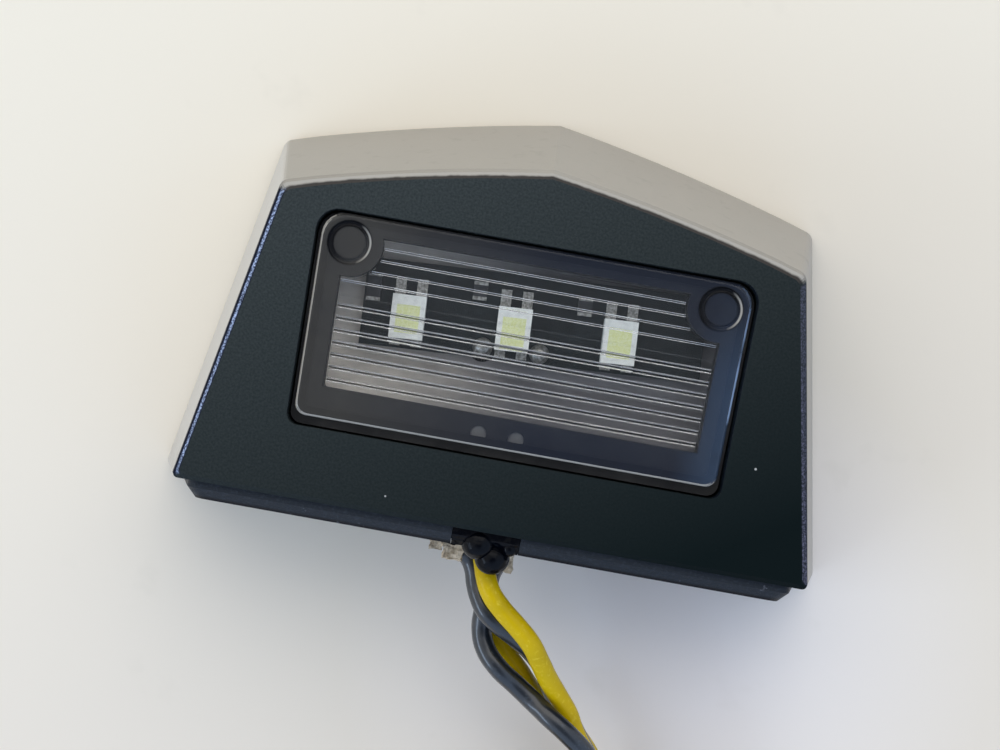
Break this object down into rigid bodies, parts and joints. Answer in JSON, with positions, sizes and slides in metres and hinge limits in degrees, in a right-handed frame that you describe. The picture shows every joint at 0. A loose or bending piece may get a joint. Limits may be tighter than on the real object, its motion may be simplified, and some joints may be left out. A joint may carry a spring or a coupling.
{
  "type": "number plate lamp",
  "caption": "Small wedge-nosed lamp housing with a recessed clear lens over three lights and four trailing leads, mounted by two threaded inserts.",
  "frame": {"origin": "middle of the lamp's outline without its leads, on the flat back of the hood", "axes": "+Z out of the lens, -Y out of the mounting side, +Y towards the nose"},
  "size_m": [0.0596, 0.0901, 0.018],
  "materials": {
    "hood": "satin",
    "black_plastic": "satin",
    "gasket": "matte",
    "brass": "satin",
    "tray": "satin",
    "board": "gloss",
    "light_case": "satin",
    "phosphor": "gloss",
    "solder": "satin",
    "chip": "satin",
    "lens": "gloss",
    "foam": "matte",
    "lead_yellow": "satin",
    "lead_black": "satin"
  },
  "bodies": {
    "root": {"hood": "hood", "body": "black_plastic", "base_gasket": "gasket", "insert_left": "brass", "insert_right": "brass", "reflector_tray": "tray", "circuit_board": "board", "led_1": "light_case", "led_2": "light_case", "led_3": "light_case", "phosphor_1": "phosphor", "phosphor_2": "phosphor", "phosphor_3": "phosphor", "led_solder_1": "solder", "led_solder_2": "solder", "led_solder_3": "solder", "resistor_1": "chip", "resistor_2": "chip", "resistor_3": "chip", "chip_caps": "solder", "joint_yellow": "solder", "joint_black": "solder", "seat_frame": "black_plastic", "lens_seal": "gasket", "lens": "lens", "cable_seal": "gasket", "foam_left": "foam", "foam_scrap": "foam", "foam_right": "foam", "inner_yellow_1": "lead_yellow", "inner_yellow_2": "lead_yellow", "inner_black_1": "lead_black", "inner_black_2": "lead_black", "lead_yellow_1": "lead_yellow", "lead_yellow_2": "lead_yellow", "lead_black_1": "lead_black", "lead_black_2": "lead_black", "coil_yellow_1": "lead_yellow", "coil_yellow_2": "lead_yellow", "coil_black_1": "lead_black", "coil_black_2": "lead_black"}
  },
  "joints": []
}
